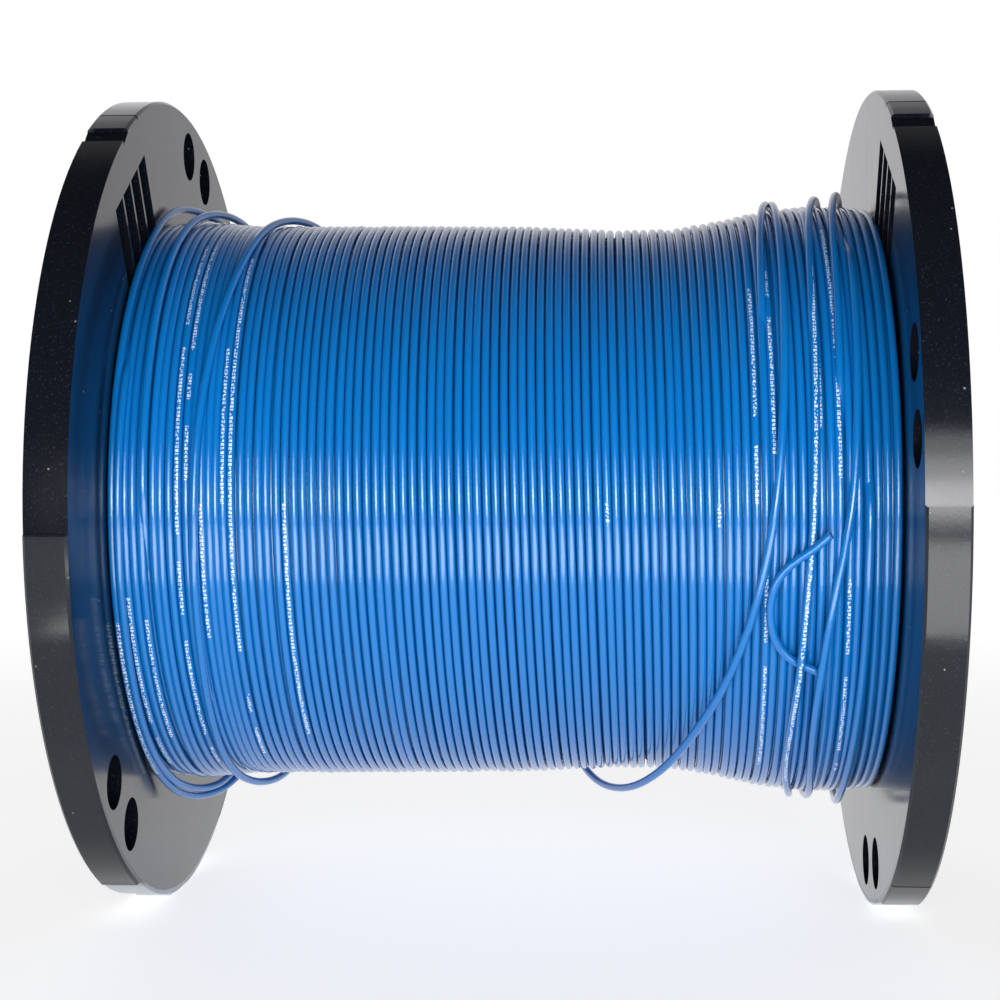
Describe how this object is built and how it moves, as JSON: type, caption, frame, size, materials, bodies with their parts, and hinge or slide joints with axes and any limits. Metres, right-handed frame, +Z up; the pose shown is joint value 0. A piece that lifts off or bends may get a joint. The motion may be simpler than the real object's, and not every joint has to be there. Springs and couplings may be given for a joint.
{
  "type": "wire spool",
  "caption": "Plastic reel of two ribbed flanges bolted over a barrel, wound with blue single-core building wire, with tie-off holes, start slots and an arbor bore.",
  "frame": {"origin": "on the arbor axis, half way between the flanges", "axes": "+X along the arbor axis, +Z up with the spool standing on its rims, -Y towards the side where the wire's outer end is tucked in"},
  "size_m": [0.2928, 0.3048, 0.3037],
  "materials": {
    "flange_plastic": "gloss, lightly scratched",
    "barrel_plastic": "satin",
    "zinc_steel": "bright zinc",
    "wire_jacket": "gloss nylon"
  },
  "bodies": {
    "root": {"flange_left": "flange_plastic", "flange_right": "flange_plastic", "barrel": "barrel_plastic", "washer_left_1": "zinc_steel", "washer_right_1": "zinc_steel", "tie_bolt_1": "zinc_steel", "lock_nut_1": "zinc_steel", "washer_left_2": "zinc_steel", "washer_right_2": "zinc_steel", "tie_bolt_2": "zinc_steel", "lock_nut_2": "zinc_steel", "washer_left_3": "zinc_steel", "washer_right_3": "zinc_steel", "tie_bolt_3": "zinc_steel", "lock_nut_3": "zinc_steel", "washer_left_4": "zinc_steel", "washer_right_4": "zinc_steel", "tie_bolt_4": "zinc_steel", "lock_nut_4": "zinc_steel", "wire_base_layers": "wire_jacket", "wire_top_layers": "wire_jacket", "wire_slack_turn": "wire_jacket", "wire_outer_end": "wire_jacket"}
  },
  "joints": []
}
